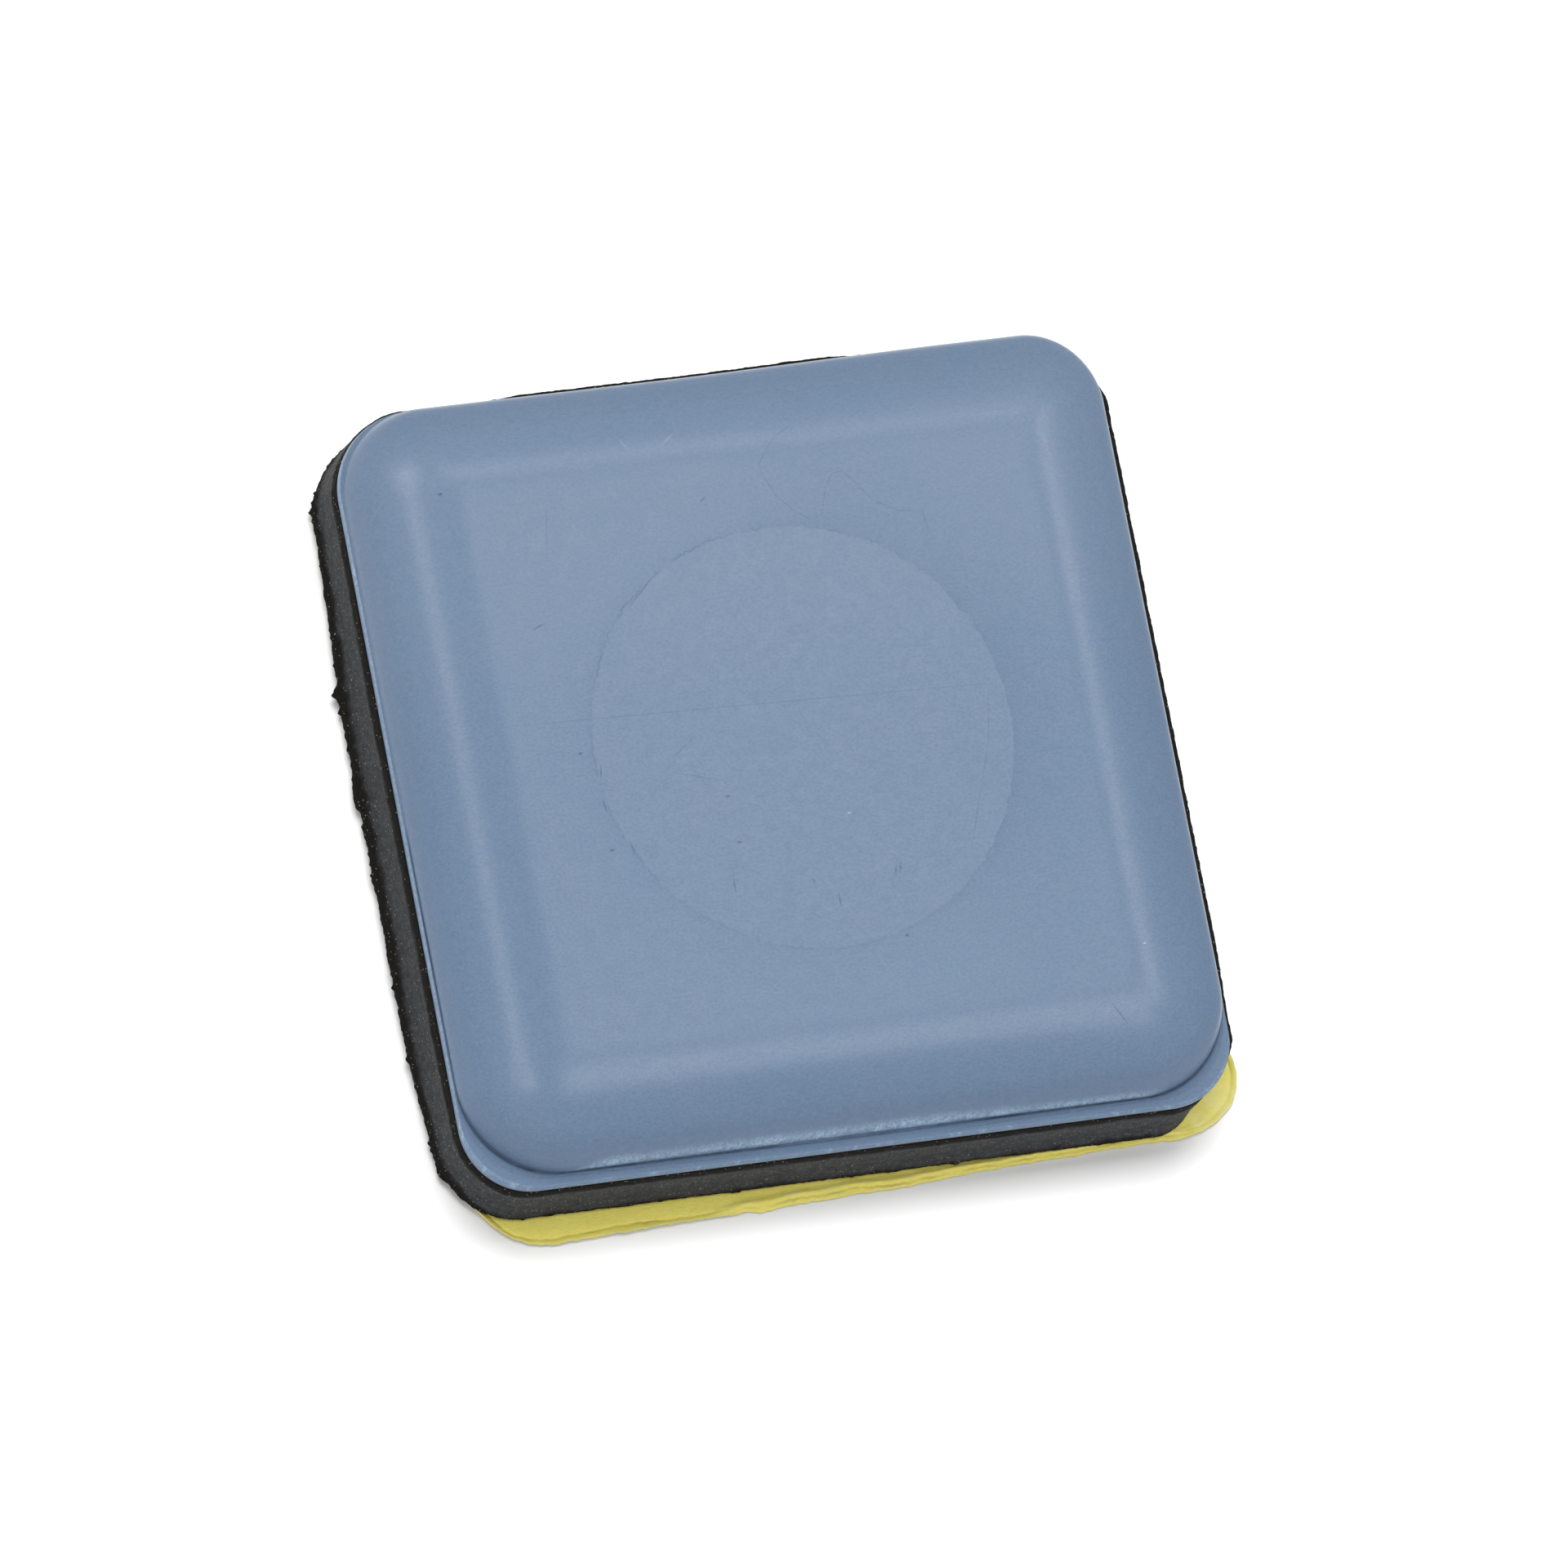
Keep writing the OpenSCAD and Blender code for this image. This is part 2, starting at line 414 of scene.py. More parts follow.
def cap_material():
    """Satin low-friction plastic: faint grain, light wear, scuffed foot, dirt and painted shade in the
    groove, painted shade on the sides and round the press mark, painted light towards the back.
    """
    s = Shader("cap_plastic")
    deep_blue = (0.122, 0.195, 0.306)
    cloud = s.speckle(2.2, 3.0)
    mottle = s.speckle(0.5, 3.0, 0.6, (1, 1.6, 1))
    grain = s.speckle(0.11, 3.0, 0.6, (0.8, 1.1, 1))
    tone = s.mix(cloud, (0.162, 0.247, 0.362), (0.189, 0.253, 0.374))
    tone = s.mix(s.ramp(mottle, 0.3, 0.7, 0.0, 0.17), tone, deep_blue)
    tone = s.mix(s.ramp(grain, 0.3, 0.75, 0.0, 0.62), tone, deep_blue)
    # Painted light: the face is a little lighter towards the back, as it is lit more there
    tone = s.mix(s.ramp(s.axis("Y"), 0.0, 8 * MM, 0.0, 0.03), tone, (0.65, 0.7, 0.75))

    # Dark marks: a long scratch, hairlines, ticks and specks, and the painted shade round the press
    # mark's rim
    dark = s.ramp(s.strokes(LONG_SCRATCH, 0.08, 0.0), 0.0, 0.4, 0.0, 0.14)
    dark = s.strongest(dark, [
        (s.strokes(HAIRLINES, 0.09), 0.24),
        (s.strokes(TICKS, 0.11, 0.1), 0.55),
        (s.strokes(short_dashes(DARK_SPECKS, 0.08), 0.14), 0.8),
        (s.attribute("rim"), 1.0),
    ])
    tone = s.mix(dark, tone, (0.04, 0.075, 0.15))
    pale = s.strongest(0.0, [
        (s.strokes(PALE_SCRATCHES, 0.08, 0.0), 0.2),
        (s.strokes(short_dashes(PALE_SPECKS, 0.06), 0.08), 0.6),
    ])
    tone = s.mix(pale, tone, (0.62, 0.7, 0.8))

    # Painted shade on the dome's sides
    tone = s.mix(s.attribute("shade"), tone, (0, 0, 0))
    flecks = s.ramp(s.speckle(0.14, 4.0, 0.7, (1.4, 1, 0.7)), 0.35, 0.62, 0.25, 1.0)
    tone = s.mix(s.maths("MULTIPLY", s.attribute("whiten"), flecks), tone, (0.44, 0.6, 0.78))
    # Dirt and painted shade in the groove
    tone = s.mix(s.attribute("grime"), tone, (0.01, 0.016, 0.035))

    ends = s.ramp(s.maths("ABSOLUTE", s.axis("Y")), 9.5 * MM, 11.5 * MM, 0.3, 1.0)
    normal = s.bump(s.maths("MULTIPLY", grain, ends), 0.0022)
    normal = s.bump(s.speckle(0.9, 2.0), 0.0012, normal)
    roughness = s.ramp(s.speckle(0.4, 3.0), 0.3, 0.7, 0.19, 0.24)
    dull = s.attribute("dull")
    roughness = s.maths("ADD", roughness, s.maths("MULTIPLY", dull, 0.22))
    gloss = s.ramp(dull, 0.0, 1.5, 0.3, 0.06)
    return s.finish(Base_Color=tone, Roughness=roughness, Normal=normal, Specular_IOR_Level=gloss)


def rubber_material():
    """Matt black cellular rubber: a smooth cut band with pale specks between rough bands, painted
    darker as shade in their hollows and under the flange.
    """
    s = Shader("cell_rubber")
    grain = s.speckle(0.1, 4.0, 0.7)
    cloud = s.speckle(1.1, 3.0)
    rough_band = s.attribute("rough_band")
    tone = s.mix(cloud, (0.034, 0.037, 0.041), (0.048, 0.051, 0.057))
    tone = s.mix(s.ramp(s.speckle(0.3, 4.0, 0.65), 0.35, 0.65, 0.0, 0.55), tone, (0.095, 0.099, 0.105))
    tone = s.mix(s.ramp(grain, 0.35, 0.65, 0.0, 0.7), tone, (0.022, 0.022, 0.023))
    # Rough bands painted darker, partly as shade in their hollows and under the flange
    tone = s.mix(rough_band, tone, (0.013, 0.012, 0.01))
    tone = s.mix(s.attribute("seam"), tone, (0.1, 0.1, 0.095))
    specks = s.maths("MAXIMUM", s.dots(0.14, 0.035, 0.45), s.dots(0.4, 0.055, 0.3))
    tone = s.mix(s.maths("MULTIPLY", specks, 0.9), tone, (0.24, 0.23, 0.21))
    gloss = s.ramp(rough_band, 0.0, 1.0, 0.15, 0.02)
    normal = s.bump(grain, 0.02)
    return s.finish(Base_Color=tone, Roughness=0.7, Normal=normal, Specular_IOR_Level=gloss)


def liner_material():
    """Yellow release paper with fibres, paler where it is frayed, with a painted highlight on its ridge
    and painted shade in brown along its crease.
    """
    s = Shader("liner_paper")
    fibre = s.speckle(0.22, 5.0, 0.7, (1, 3, 1))
    tone = s.mix(s.speckle(1.6, 3.0), (0.88, 0.77, 0.14), (0.95, 0.85, 0.19))
    tone = s.mix(s.ramp(fibre, 0.4, 0.75, 0.0, 0.4), tone, (0.66, 0.57, 0.09))
    # Paler where frayed, and a painted highlight on the ridge
    tone = s.mix(s.attribute("frayed"), tone, (0.96, 0.91, 0.4))
    # Painted shade, in brown, along the crease and beside the ridge
    tone = s.mix(s.attribute("crease"), tone, (0.3, 0.21, 0.02))
    wrinkles = s.bump(s.speckle(0.8, 3.0), 0.06)
    return s.finish(Base_Color=tone, Roughness=0.5, Normal=s.bump(fibre, 0.03, wrinkles))


def glue_material():
    """Pale tacky adhesive with small trapped bubbles."""
    s = Shader("tape_glue")
    bubbles = s.dots(0.6, 0.18, 0.4)
    tone = s.mix(s.speckle(2.5, 3.0), (0.62, 0.57, 0.42), (0.72, 0.68, 0.54))
    tone = s.mix(bubbles, tone, (0.8, 0.78, 0.7))
    normal = s.bump(s.speckle(1.2, 3.0), 0.02, s.bump(bubbles, 0.01))
    return s.finish(Base_Color=tone, Roughness=0.3, Normal=normal)


def film_material():
    """Smooth carrier film with faint draw lines."""
    s = Shader("tape_film")
    lines = s.speckle(0.3, 2.0, 0.5, (12, 1, 1))
    tone = s.mix(lines, (0.72, 0.72, 0.7), (0.78, 0.78, 0.77))
    return s.finish(Base_Color=tone, Roughness=0.25, Normal=s.bump(lines, 0.002))


def bond_material():
    """Dull black adhesive film, stippled by the press."""
    s = Shader("bond_adhesive")
    stipple = s.speckle(0.25, 3.0, 0.6)
    tone = s.mix(stipple, (0.012, 0.012, 0.013), (0.03, 0.03, 0.032))
    return s.finish(Base_Color=tone, Roughness=0.6, Normal=s.bump(stipple, 0.01))


# The dome's rounding is two arcs, as in the solid: a wide shoulder that turns into a tight edge
ROUND_TURN = math.asin((ROUND_RUN - EDGE_R) / (SHOULDER_R - EDGE_R))
EDGE_RUN = (SHOULDER_R - EDGE_R) * math.sin(ROUND_TURN)
EDGE_Z = GLIDE_Z - SHOULDER_R + (SHOULDER_R - EDGE_R) * math.cos(ROUND_TURN)


def dome_profile(inset, turns):
    """Distance out from the flat and height of the dome, moved in by inset, at angles from level."""
    for turn in turns:
        if turn < ROUND_TURN:
            run, z, radius = 0.0, GLIDE_Z - SHOULDER_R, SHOULDER_R - inset
        else:
            run, z, radius = EDGE_RUN, EDGE_Z, EDGE_R - inset
        yield run + radius * math.sin(turn), z + radius * math.cos(turn)


def round_turns(shoulder_steps, edge_steps):
    """Angles from level down the dome's side."""
    return np.concatenate([
        np.linspace(0, ROUND_TURN, shoulder_steps),
        np.linspace(ROUND_TURN, math.pi / 2, edge_steps)[1:],
    ])


def inner_rings(outline, inset, turns):
    """Rings of the solid's dome, moved in by inset."""
    for run, z in dome_profile(inset, turns):
        half = INNER_FLAT_HALF + run
        yield lift(outline.ring((half, half), FLAT_CORNER_R + run), z)


# Painted shade: how much darker each side of the cap is painted, and the height at which it has turned
# fully dull
SIDE_SHADE = {LEFT: 0.01, FRONT: 0.05, RIGHT: 0.08, BACK: 0.11}
SIDE_DULL_Z = {LEFT: 4.0, FRONT: 4.0, RIGHT: 4.9, BACK: 4.9}


class GlideCap:
    """Pressed pan: glide face with its press mark, rounded dome, groove, trimmed flange and hollow.

    Its rings run from the middle of the face, over the flange, to the middle of the hollow.
    """

    def __init__(self):
        self.outline = Outline(per_side=240, per_corner=84)
        low = np.array([FLANGE_SHOWN[LEFT], FLANGE_SHOWN[FRONT]]) - SIDE_HALF
        high = SIDE_HALF - np.array([FLANGE_SHOWN[RIGHT], FLANGE_SHOWN[BACK]])
        self.centre = (low + high) / 2
        self.flat_half = (high - low) / 2 - ROUND_RUN
        self.flat_corner = self.outline.by_corner(FLAT_CORNERS)
        self.rings = []
        self.add_face()
        self.add_dome()
        self.add_flange()
        self.add_hollow()
        self.rings = np.array(self.rings)
        self.press_unevenly()

    def add_face(self):
        """Flat face with the wavy rim of its press mark. Outside that it sags, most at the right."""
        spoke = self.outline.ring(self.flat_half, self.flat_corner, self.centre) - MARK_CENTRE
        reach = np.linalg.norm(spoke, axis=1)
        self.spoke = spoke / reach[:, None]
        self.mark_rim = lift(MARK_R * self.spoke, 0)
        waves = 0.08 * fractal(self.mark_rim, 1.8, 4)
        self.mark_r = MARK_R + waves + 0.1 * fractal(self.mark_rim, 0.22, 3, 3)
        self.sag = MARK_SAG * smooth(-0.2, 0.8, self.spoke @ np.array([0.95, 0.3])) ** 2
        self.rings.extend(self.face(-self.mark_r * share) for share in np.linspace(0.92, 0.04, 12))
        self.rim_rows = slice(len(self.rings), len(self.rings) + len(RIM_STEPS))
        self.rings.extend(self.face(np.full(len(reach), step)) for step in RIM_STEPS)
        for share in np.linspace(0, 1, 10)[1:]:
            self.rings.append(self.face(blend(RIM_STEPS[-1], reach - self.mark_r, share)))

    def face(self, outside):
        """Ring on the glide face at distances from the rim of the mark, below zero inside it."""
        beyond = np.maximum(outside, 0)
        step = 0.15 * np.exp(-beyond / 0.3) + 0.85 * np.exp(-beyond / 2)
        height = MARK_H * step - 3 * self.sag * np.tanh(beyond / 3)
        return lift(MARK_CENTRE + self.spoke * (self.mark_r + outside)[:, None], GLIDE_Z + height)

    def add_dome(self):
        """Rounded sides, which start as low as the face has sagged."""
        drop = GLIDE_Z - self.rings[-1][:, 2]
        foot_corner = self.outline.by_corner(FOOT_CORNERS)
        for run, z in dome_profile(0, round_turns(16, 22)[1:]):
            share = run / ROUND_RUN
            corner = blend(self.flat_corner, foot_corner, share)
            ring = self.outline.ring(self.flat_half + run, corner, self.centre)
            ring[:, 1] += self.outline.bow() * share
            sunk = (drop + 0.5 * self.sag * run) * (1 - smooth(0.25, 1, share))
            self.rings.append(lift(ring, z - sunk))
        self.foot = self.rings[-1][:, :2]
        self.dome_rings = len(self.rings)

    def add_flange(self):
        """Trimmed flange: a groove at the dome's foot, a ridge where it is wide and a burred lip."""
        trim = self.outline.trim()
        width = np.linalg.norm(trim - self.foot, axis=1)
        self.wide = smooth(0.5, 0.75, width)
        grooved = smooth(0.25, 0.45, width)
        burr = fractal(lift(trim, 0), 0.5, 3, 5)
        self.nick = np.clip(fractal(lift(trim, 0), 0.22, 2, 9) - 0.25, 0, 1)
        lip = 0.012 * burr + 0.05 * self.nick
        for share in np.linspace(0, 1, 26):
            across = share * width
            fillet = FILLET_H * (1 - grooved) * (1 - share) ** 2
            groove = GROOVE_D * grooved * bell(across, 0.06, 0.05)
            ridge = RIDGE_H * bell(across, 0.26, 0.04) - RIDGE_DIP * bell(across, 0.34, 0.03)
            height = FLANGE_TOP + (fillet - groove) + self.wide * ridge + lip * smooth(0.6, 1, share)
            self.rings.append(lift(blend(self.foot, trim, share), height))
        self.lip_ring = len(self.rings) - 1
        skew = self.outline.way * (0.02 * burr + 0.03 * self.nick)[:, None]
        for share in np.linspace(0.06, 1, 7):
            bulge = self.outline.way * (LIP_BULGE * math.sin(math.pi * share))
            side = trim + skew * (1 - share) + bulge
            self.rings.append(lift(side, blend(FLANGE_TOP + lip, FLANGE_Z, share)))

    def add_hollow(self):
        """Hollow under the dome, as in the solid."""
        hollow = list(inner_rings(self.outline, CAP_SHEET, round_turns(5, 8)[::-1]))
        self.rings.append(lift(hollow[0][:, :2], FLANGE_Z))
        self.rings.extend(hollow)
        self.rings.extend(hollow[-1] * (share, share, 1) for share in (0.7, 0.3))

    def press_unevenly(self):
        """Slight waves of the top, and dimples where the ends of the left shoulder are flatter."""
        top = self.rings[:self.dome_rings]
        top[..., 2] += TOP_WAVE * fractal(top, 3.5, 2, 2)
        ends = bell(top[..., 1], -11.5, 1.1) + bell(top[..., 1], 12.2, 0.9)
        top[..., 2] -= DIMPLE_D * bell(top[..., 0], -13.0, 0.6) * ends

    def unmarked(self):
        """No wear at any point of the rings."""
        return np.zeros(self.rings.shape[:2])

    def rim(self):
        """Painted shade round the press mark's step: a broken dark line at its rim and a soft shade
        outside it, most at the right.
        """
        broken = np.clip(0.5 + 1.2 * fractal(self.mark_rim, 0.9, 4, 11), 0, 1)
        line = blend(0.16, 0.32, smooth(-0.2, 0.8, self.spoke @ np.array([-0.17, 0.98]))) * broken
        line = line * bell(RIM_STEPS, 0.03, 0.04)[:, None]
        shaded = self.spoke @ np.array([0.94, 0.34])
        halo = blend(0.03, 0.12, smooth(-0.4, 0.6, shaded)) * blend(0.7, 1.2, broken)
        halo = halo * np.exp(-RIM_STEPS[:, None] / blend(0.1, 0.4, smooth(0, 0.9, shaded)))
        halo[RIM_STEPS < 0] = 0
        shown = self.unmarked()
        shown[self.rim_rows] = np.maximum(line, halo)
        return shown

    def whiten(self):
        """Pale scuffed band at the foot of the front, thin at its left end, and a pale, nicked lip."""
        x, y, z = np.moveaxis(self.rings, -1, 0)
        front = smooth(-13.2, -14.2, y) * smooth(12.2, 11.0, np.abs(x - 0.1))
        along = self.rings * (1, 0, 0)
        patchy = 0.75 + 0.4 * fractal(along, 1.8, 3, 4) + 0.3 * fractal(along, 0.3, 2, 7)
        band_top = blend(3.55, 4.3, smooth(-12, -9.5, x)) - 0.2 * smooth(2, 9, x)
        band = front * patchy * smooth(3.4, 3.46, z) * smooth(0.2, -0.45, z - band_top)
        shown = self.unmarked()
        shown[:self.dome_rings] = band[:self.dome_rings]
        lip_rows = slice(self.lip_ring - 3, self.lip_ring + 4)
        shown[lip_rows] = 0.1 + 0.25 * self.outline.towards(LEFT) + 0.8 * self.nick
        return shown

    def grime(self):
        """Dirt and painted shade in the groove, in dashes along the front and all round the wide
        corners.
        """
        rows = slice(self.dome_rings - 1, self.dome_rings + 9)
        groove = self.rings[rows]
        dashes = np.clip(0.55 + 1.3 * fractal(groove * (1, 1, 0), 0.9, 3, 6), 0, 1)
        deep = bell(np.linalg.norm(groove[..., :2] - self.foot, axis=-1), 0.05, 0.05)
        shown = self.unmarked()
        shown[rows] = 0.4 * deep * dashes * self.outline.towards(FRONT) + 0.45 * deep * self.wide
        return shown

    def shade(self):
        """Painted shade: how much darker the sheet's sides are painted below the top, most at the back
        and right.
        """
        return smooth(5.75, 5.0, self.rings[..., 2]) * self.outline.by_side(SIDE_SHADE)

    def dull(self):
        """How dull the sheet is where it was drawn down, most on the far sides above their foot."""
        z = self.rings[..., 2]
        far_sides = self.outline.towards(RIGHT) + self.outline.towards(BACK)
        drawn = smooth(5.4, self.outline.by_side(SIDE_DULL_Z), z)
        return drawn * (1 + far_sides * (0.4 - 0.92 * smooth(4.7, 4.2, z)))


def make_glide_cap():
    """Cap with its wear, in place of its solid."""
    cap = GlideCap()
    piece = ring_piece(
        "glide_cap_visual", cap.rings, cap_material(),
        rim=cap.rim(), whiten=cap.whiten(), grime=cap.grime(), shade=cap.shade(), dull=cap.dull())
    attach(piece, "glide")
    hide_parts("glide_cap")


# Profile of the rubber's side: heights, and how far each stands out past the flange on each side
SIDE_HEIGHTS = [PAD_Z, 0.6, 0.95, 1.3, 2.3, 2.75, BOND_Z]
SIDE_OFFSETS = {
    LEFT: [0.66, 0.66, 0.45, 0.29, 0.15, 0.06, -0.1],
    FRONT: [0.42, 0.4, 0.26, 0.18, 0.1, 0.05, -0.06],
    RIGHT: [0.54, 0.5, 0.46, 0.45, 0.45, 0.44, 0.36],
    BACK: [0.45, 0.41, 0.38, 0.37, 0.37, 0.36, 0.3],
}
# Heights where the torn lower band ends on each side, and where the rough upper band begins
TORN_TOPS = {LEFT: 0.95, FRONT: 0.6, RIGHT: 0.8, BACK: 0.8}
UPPER_FOOT = 2.34
# How far the seam below the upper band and the nibs stand out, and how far the underside is cut back
SEAM_H = 0.025
NIB_LENGTH = 0.25
UNDERCUT = 0.2


def core_swell(outline, flange):
    """Share of its offsets by which the rubber stands out, less where it was cut closer."""
    x, y = flange.T
    swell = blend(1.0, blend(0.55, 1.0, smooth(11, 4, y)), outline.towards(LEFT))
    swell -= 0.3 * outline.corner(LEFT, BACK)
    swell -= 0.9 * outline.corner(BACK, RIGHT)
    swell -= outline.corner(FRONT, RIGHT)
    swell -= 0.15 * outline.corner(FRONT, LEFT)
    swell -= 0.45 * outline.towards(LEFT) * smooth(-8.5, -13.5, y)
    swell -= 0.25 * outline.towards(RIGHT) * smooth(-8, -13, y)
    swell -= 0.35 * outline.towards(BACK) * (1 - smooth(-9, -7, x) * smooth(6.5, 4.5, x))
    return swell


def left_nibs(y, z):
    """Nibs of torn rubber along the left side."""
    nibs = bell(y, 5.3, 0.3) * bell(z, 0.6, 0.3)
    nibs += 0.8 * smooth(0.7, 0.9, y) * smooth(2.6, 1.2, y) * bell(z, 0.5, 0.3)
    nibs += 0.5 * bell(y, -8.9, 0.15) * bell(z, 0.5, 0.2)
    return nibs


def roughen(outline, flange, side):
    """Moves the points of the rubber's side. Returns how rough it is, which also sets its painted
    shade, and how pale its seam is.
    """
    z = side[..., 2]
    wander = fractal(lift(flange, 0), 1.6, 4, 12)
    torn_top = outline.by_side(TORN_TOPS) - 0.14 * wander
    torn = smooth(0.18, -0.16, z - torn_top + 0.08 * fractal(side, 0.4, 3, 8))
    upper_z = z + 0.1 * wander + 0.06 * fractal(side, 0.3, 3, 16)
    upper = smooth(UPPER_FOOT - 0.12, UPPER_FOOT + 0.14, upper_z)
    seam = bell(z + 0.05 * wander, UPPER_FOOT - 0.05, 0.035)
    lumps = fractal(side, (0.8, 0.8, 0.4), 4, 1)
    grit = fractal(side, (0.2, 0.2, 0.12), 3, 2)
    tufts = np.clip(fractal(side, (0.5, 0.5, 0.6), 3, 14) - 0.3, 0, 1)
    ragged = fractal(lift(flange, 0), 4.0, 3, 15)
    tear = 0.06 * ragged + 0.05 * lumps + 0.035 * grit + 0.3 * tufts
    push = 0.006 * grit + upper * (0.02 * lumps + 0.02 * grit - 0.02)
    push += torn * blend(0.35, 1.0, outline.towards(LEFT)) * tear
    push += SEAM_H * seam
    push += NIB_LENGTH * left_nibs(flange[:, 1], z) * outline.towards(LEFT)
    push[0] = 0
    droop = np.where(z < 0.9, torn * (0.05 * fractal(side, (0.4, 0.4, 9), 3, 5) - 0.04), 0)
    side[..., :2] += outline.way * push[..., None]
    side[..., 2] += droop
    return np.clip(0.95 * torn + 0.9 * upper, 0, 1), seam * np.clip(0.45 + 0.6 * wander, 0, 0.8)


def make_rubber_core():
    """Rubber that fills the dome, with a die-cut side over a torn and flared lower edge."""
    outline = Outline(per_side=400, per_corner=110)
    dome = list(inner_rings(outline, CORE_INSET, round_turns(5, 8)))
    rings = [dome[0] * (share, share, 1) for share in (0.3, 0.7)]
    rings.extend(dome)
    rings.append(lift(dome[-1][:, :2], BOND_Z))
    flange = outline.trim()
    swell = core_swell(outline, flange)
    first_row = len(rings)
    heights = np.concatenate([np.linspace(BOND_Z, 1.0, 30), np.linspace(1.0, PAD_Z, 18)[1:]])
    for z in heights:
        offsets = {way: np.interp(z, SIDE_HEIGHTS, out) for way, out in SIDE_OFFSETS.items()}
        out = outline.by_side(offsets) * swell
        rings.append(lift(flange + outline.way * out[:, None], z))
    side_rows = slice(first_row, len(rings))
    rings.append(lift(flange - outline.way * UNDERCUT, PAD_Z))
    rings.extend(lift(flange * share, PAD_Z) for share in (0.7, 0.3))
    rings = np.array(rings)

    rough_band = np.zeros(rings.shape[:2])
    seam = np.zeros(rings.shape[:2])
    rough_band[side_rows], seam[side_rows] = roughen(outline, flange, rings[side_rows])
    piece = ring_piece("rubber_core_visual", rings, rubber_material(), rough_band=rough_band, seam=seam)
    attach(piece, "base")
    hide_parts("rubber_core")
    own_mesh(piece)


# Distances in from the liner's edge at which its top has rings, and depth of the dent at its crease
LINER_STEPS = np.array([
    1.2, 0.9, 0.7, 0.58, 0.5, 0.44, 0.39, 0.35, 0.31, 0.27,
    0.23, 0.2, 0.17, 0.14, 0.11, 0.08, 0.05, 0.02, 0.0,
])
CREASE_D = 0.03


class ReleaseLiner:
    """Release paper, laid askew, with a crease along its frayed and lifted edge."""

    def __init__(self):
        self.outline = Outline(per_side=300, per_corner=72)
        self.edge = self.outline.ring(LINER_HALF, LINER_CORNER_R)
        self.at_edge = lift(self.edge, 0)
        self.flap = np.sqrt(self.outline.corner(FRONT, RIGHT))
        self.shape_edge()
        self.add_rings()

    def shape_edge(self):
        """Frayed line of the edge, and how it lifts.

        Outside its crease the edge curls up. At the right of the front it is pushed up into a ridge.
        """
        x = self.edge[:, 0]
        at_front = self.outline.towards(FRONT)
        at_right = self.outline.towards(RIGHT)
        fray = 0.05 * fractal(self.at_edge, 1.4, 4, 1) + 0.04 * fractal(self.at_edge, 0.25, 2, 2)
        fray += 0.32 * self.flap * blend(0.35, 1.0, at_right) - 0.3 * self.outline.corner(LEFT, BACK)
        fray += at_front * (0.12 * bell(x, -4.0, 0.45) - 0.13 * smooth(1, 6, x))
        self.fray = fray
        self.ridged = at_front * smooth(-6.5, -4.5, x) * (1 - self.flap)
        self.ridge = self.ridged * np.clip(0.13 + 0.08 * fractal(self.at_edge, 1.5, 3, 9), 0.02, 0.3)
        self.crease = 0.2 + 0.08 * fractal(self.at_edge, 2.5, 3, 3) + 0.12 * self.ridged
        curl = np.clip(0.4 + 0.35 * fractal(self.at_edge, 2.2, 3, 4), 0.02, 0.9)
        self.curl = curl * (1 - self.ridged) * (1 - 0.7 * self.flap)

    def surface(self, inward, z, dent):
        """Ring at a distance in from the edge, with the curl of the strip outside the crease."""
        raised = np.clip(self.crease - inward, 0, 1) * self.curl
        raised -= dent * bell(inward, self.crease, 0.05) * (1 - self.ridged)
        raised += self.ridge * bell(inward, self.crease, 0.13)
        out = self.fray * smooth(0.6, 0, inward) - inward
        return lift(self.edge + self.outline.way * out[:, None], z + raised)

    def add_rings(self):
        """Rings from the middle of the top to the middle of the underside, turned as the liner lies."""
        flat = [lift(self.edge * share, LINER_T) for share in (0.3, 0.7)]
        top = [self.surface(step, LINER_T, CREASE_D) for step in LINER_STEPS]
        rim = [self.surface(0.0, LINER_T * share, 0.0) for share in (0.7, 0.3)]
        under = [self.surface(step, 0.0, 0.0) for step in LINER_STEPS[::-2]]
        base = [lift(self.edge * share, 0.0) for share in (0.7, 0.3)]
        rings = np.array([*flat, *top, *rim, *under, *base])
        turn = np.array(Matrix.Rotation(LINER_TURN, 2))
        rings[..., :2] = rings[..., :2] @ turn.T + LINER_SHIFT
        rings[..., 2] = np.maximum(rings[..., 2], 0)
        self.rings = rings
        self.top_rows = slice(len(flat), len(flat) + len(top))
        self.rim_rows = slice(self.top_rows.stop, self.top_rows.stop + len(rim))

    def frayed(self):
        """Paler paper along the frayed edge and on the torn flap, and a painted highlight along the
        ridge.
        """
        inward = LINER_STEPS[:, None]
        pale = np.clip(0.5 + 0.8 * fractal(self.at_edge, 0.9, 3, 6), 0, 1)
        worn = 0.25 * smooth(0.12, 0.02, inward)
        # Painted highlight along the top of the ridge
        worn = worn + 0.9 * pale * self.ridged * bell(inward, self.crease + 0.05, 0.05)
        worn += 0.6 * pale * self.flap * smooth(1.2, 0.6, inward)
        shown = np.zeros(self.rings.shape[:2])
        shown[self.top_rows] = np.clip(worn, 0, 1)
        shown[self.rim_rows] = 0.5
        return shown

    def folded(self):
        """Painted shade, in brown: a line along the crease, and two lines beside the ridge."""
        inward = LINER_STEPS[:, None]
        patchy = np.clip(0.55 + 0.9 * fractal(self.at_edge, 1.2, 3, 8), 0, 1)
        lines = bell(inward, self.crease, 0.03) * (1 - self.ridged)
        lines += 0.9 * self.ridged * bell(inward, self.crease - 0.16, 0.04)
        lines += 0.5 * self.ridged * bell(inward, self.crease + 0.2, 0.03)
        shown = np.zeros(self.rings.shape[:2])
        shown[self.top_rows] = 0.8 * patchy * lines * (1 - self.flap)
        return shown


